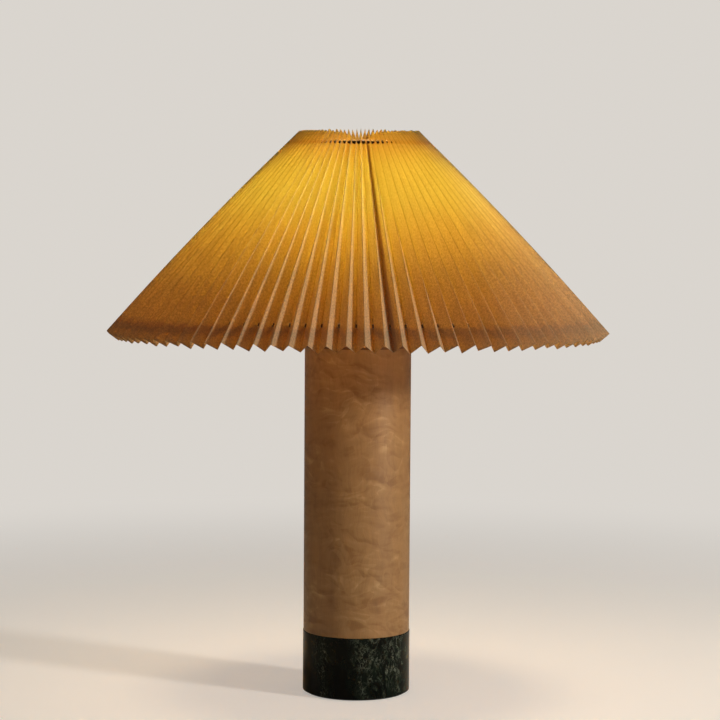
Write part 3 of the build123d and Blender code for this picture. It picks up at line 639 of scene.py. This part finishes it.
def build_shade():
    """The pleated sheet: a closed thin shell of folds, notched where the wire rings lie."""
    draw = random.Random(SHEET_SEED)
    sway = [draw.gauss(0.0, SWAY) for _ in range(FOLDS)]
    bow = [draw.gauss(0.0, BOW) for _ in range(FOLDS)]
    belly = [draw.gauss(0.0, BELLY) for _ in range(FOLDS)]
    rim = [draw.gauss(0.0, RIM_STEP) for _ in range(FOLDS)]
    columns = []
    for face in range(FOLDS):
        for share in face_steps(face % 2 == 1):
            columns.append((face, share))

    def fold_corner(fold, share):
        """A point of one fold line, which sways and bows a little and is cut uneven at the rims."""
        radius, level = fold_point(fold % 2, share)
        fold %= FOLDS
        slip = sway[fold] * (1.0 - SWAY_EASE * share) + bow[fold] * sin(pi * share)
        angle = FIRST_FOLD + fold * HALF_PLEAT + slip / radius
        near_rim = max(0.0, 1.0 - share / RIM_STEP_REACH, 1.0 - (1.0 - share) / TOP_STEP_REACH)
        return Vector((radius * sin(angle), -radius * cos(angle), level + rim[fold] * near_rim))

    def sheet_point(face, across, place):
        """A point of one pleat face, which bellies a little and is rounded at its outer fold."""
        share = place / FOLD_LENGTH
        first, second = fold_corner(face, share), fold_corner(face + 1, share)
        point = first.lerp(second, across)
        normal = Vector((second.y - first.y, first.x - second.x, 0.0)).normalized()
        point += normal * belly[face] * sin(pi * across) * sin(pi * min(1.0, share + BELLY_AT_RIM))
        to_outer = across if face % 2 == 0 else 1.0 - across
        near = 1.0 - to_outer * PLEAT_FACE / FOLD_ROUNDING
        if near > 0.0:
            fold = face + face % 2
            inwards = (fold_corner(fold - 1, share) + fold_corner(fold + 1, share)) / 2.0
            inwards -= fold_corner(fold, share)
            point += inwards * (0.5 * FOLD_ROUNDING * near * near / PLEAT_FACE)
        return point

    outside, inside, places = [], [], []
    for row in ROWS:
        for face, across in columns:
            place = slanted(row, face, across)
            point = sheet_point(face, across, place)
            places.append(place)
            outside.append(point)
            outwards = Vector((point.x, point.y, 0.0))
            inside.append(point - outwards * (sheet_inset(place) / hypot(point.x, point.y)))

    width = len(columns)
    height = len(ROWS) - 1
    under = len(outside)

    def kept(row, column):
        """Whether the grid has a cell here: it lies between the rims and in no notch."""
        if not 0 <= row < height:
            return False
        depth = notch_depth(ROWS[row], ROWS[row + 1])
        if depth == 0.0:
            return True
        face, start = columns[column % width]
        following = columns[(column + 1) % width]
        end = following[1] if following[0] == face else 1.0
        from_inner = end if face % 2 == 1 else 1.0 - start
        return from_inner * PLEAT_FACE > depth + CLOSE

    def corner(row, column):
        return row * width + column % width

    def flat_place(row, column):
        """Where a grid point lay on the flat strip: along it, and up from its lower edge."""
        face, share = columns[column % width]
        turns = column // width
        return ((face + share + turns * FOLDS) * PLEAT_FACE, places[corner(row, column)])

    faces, flats = [], []
    for row in range(height):
        for column in range(width):
            if not kept(row, column):
                continue
            ring = [(row, column), (row, column + 1), (row + 1, column + 1), (row + 1, column)]
            beyond = [(row - 1, column), (row, column + 1), (row + 1, column), (row, column - 1)]
            points = [corner(*spot) for spot in ring]
            flat = [flat_place(*spot) for spot in ring]
            faces.append(points)
            flats += flat
            faces.append([under + point for point in reversed(points)])
            flats += reversed(flat)
            for start in range(len(ring)):
                if kept(*beyond[start]):
                    continue
                end = (start + 1) % len(ring)
                faces.append([points[end], points[start], under + points[start], under + points[end]])
                flats += [flat[end], flat[start], flat[start], flat[end]]

    mesh = bpy.data.meshes.new("pleated_sheet")
    mesh.from_pydata(outside + inside, [], faces)
    layer = mesh.uv_layers.new(name="cut")
    layer.data.foreach_set("uv", [value for spot in flats for value in spot])
    mesh.polygons.foreach_set("use_smooth", [True] * len(mesh.polygons))
    mesh.set_sharp_from_angle(angle=SHARP_EDGE)
    mesh.materials.append(SHADE_FINISH)
    drop_loose(mesh)
    piece = bpy.data.objects.new("pleated_sheet", mesh)
    scene.collection.objects.link(piece)
    return piece


def drop_loose(mesh):
    """Takes out the points that the notches left without a face."""
    work = bmesh.new()
    work.from_mesh(mesh)
    loose = [vertex for vertex in work.verts if not vertex.link_faces]
    bmesh.ops.delete(work, geom=loose, context="VERTS")
    work.to_mesh(mesh)
    work.free()


def area_light(name, place, size, watts, colour):
    """A square soft light that faces the lamp."""
    data = bpy.data.lights.new(name, "AREA")
    data.size = size
    data.energy = watts
    data.color = colour
    light = bpy.data.objects.new(name, data)
    light.location = place
    facing = (LAMP_MIDDLE - Vector(place)).to_track_quat("-Z", "Y")
    light.rotation_euler = facing.to_euler()
    light.visible_camera = False
    scene.collection.objects.link(light)


def light_the_bulb():
    """The bulb's own light, which shines through its glass and moves with it."""
    data = bpy.data.lights.new("bulb_light", "POINT")
    data.energy = BULB_LIGHT_WATTS
    data.color = BULB_LIGHT_COLOUR
    data.shadow_soft_size = BULB_LIGHT_RADIUS
    light = bpy.data.objects.new("bulb_light", data)
    light.location = BULB_LIGHT_PLACE
    light.visible_camera = False
    light.visible_glossy = False
    scene.collection.objects.link(light)
    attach(light, "bulb")
    for name in ("bulb_glass", "bulb_stem", "bulb_filaments"):
        frame["nodes"][name].visible_shadow = False


def build_floor():
    """A wide pale floor that takes the lamp's shadow and fades into the background."""
    material, tree = new_material("floor_finish")
    x, y, _ = tree.split(tree.place())
    away = tree.calc("SQRT", tree.total(tree.product(x, x), tree.product(y, y)))
    seen = tree.node("ShaderNodeLightPath", {}).outputs["Is Camera Ray"]
    far = tree.product(tree.step(away, *FLOOR_FADE), seen)
    cloud = tree.noise(tree.place(), scale=7.0, detail=3.0)
    colour = tree.mix(cloud, FLOOR_COLOUR, tuple(FLOOR_CLOUD * part for part in FLOOR_COLOUR))
    matte = tree.node("ShaderNodeBsdfDiffuse", {"Color": colour}).outputs[0]
    glow = {"Color": BACKGROUND, "Strength": tree.product(seen, FLOOR_LIFT)}
    lift = tree.node("ShaderNodeEmission", glow).outputs[0]
    near = tree.node("ShaderNodeAddShader", {0: matte, 1: lift}).outputs[0]
    back = tree.node("ShaderNodeEmission", {"Color": BACKGROUND, "Strength": 1.0}).outputs[0]
    tree.surface(tree.node("ShaderNodeMixShader", {0: far, 1: near, 2: back}).outputs[0])
    turns = [2.0 * pi * side / FLOOR_SIDES for side in range(FLOOR_SIDES)]
    rim = [(FLOOR_RADIUS * cos(turn), FLOOR_RADIUS * sin(turn), 0.0) for turn in turns]
    mesh = bpy.data.meshes.new("floor")
    mesh.from_pydata(rim, [], [list(range(FLOOR_SIDES))])
    mesh.materials.append(material)
    floor = bpy.data.objects.new("floor", mesh)
    floor.location = (0.0, 0.0, FLOOR_LEVEL)
    scene.collection.objects.link(floor)


def build_world():
    """Weak even light all round, a pale background for the camera, and a dimmer one in gloss."""
    world = bpy.data.worlds.new("studio")
    world.use_nodes = True
    scene.world = world
    tree = Tree(world.node_tree)
    path = tree.node("ShaderNodeLightPath", {}).outputs
    seen = tree.calc("MAXIMUM", path["Is Camera Ray"], path["Is Transmission Ray"])
    colour = tree.mix(path["Is Glossy Ray"], AMBIENT, REFLECTED)
    colour = tree.mix(seen, colour, BACKGROUND)
    light = tree.node("ShaderNodeBackground", {"Color": colour, "Strength": 1.0}).outputs[0]
    tree.node("ShaderNodeOutputWorld", {"Surface": light})


def build_camera():
    """The camera at the photograph's place and angle."""
    data = bpy.data.cameras.new("camera")
    data.lens = CAMERA_LENS
    data.sensor_width = CAMERA_SENSOR
    camera = bpy.data.objects.new("camera", data)
    turn = Matrix.Rotation(CAMERA_PAN, 4, "Z") @ Matrix.Rotation(CAMERA_PITCH, 4, "X")
    turn = turn @ Matrix.Rotation(CAMERA_ROLL, 4, "Z")
    camera.matrix_world = Matrix.Translation(CAMERA_PLACE) @ turn
    scene.collection.objects.link(camera)
    scene.camera = camera


finish_nodes()
shade = build_shade()
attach(shade, "shade")
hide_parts("pleated_shade")
light_the_bulb()
area_light("key", KEY_PLACE, KEY_SIZE, KEY_WATTS, KEY_COLOUR)
area_light("fill", FILL_PLACE, FILL_SIZE, FILL_WATTS, FILL_COLOUR)
build_floor()
build_world()
build_camera()
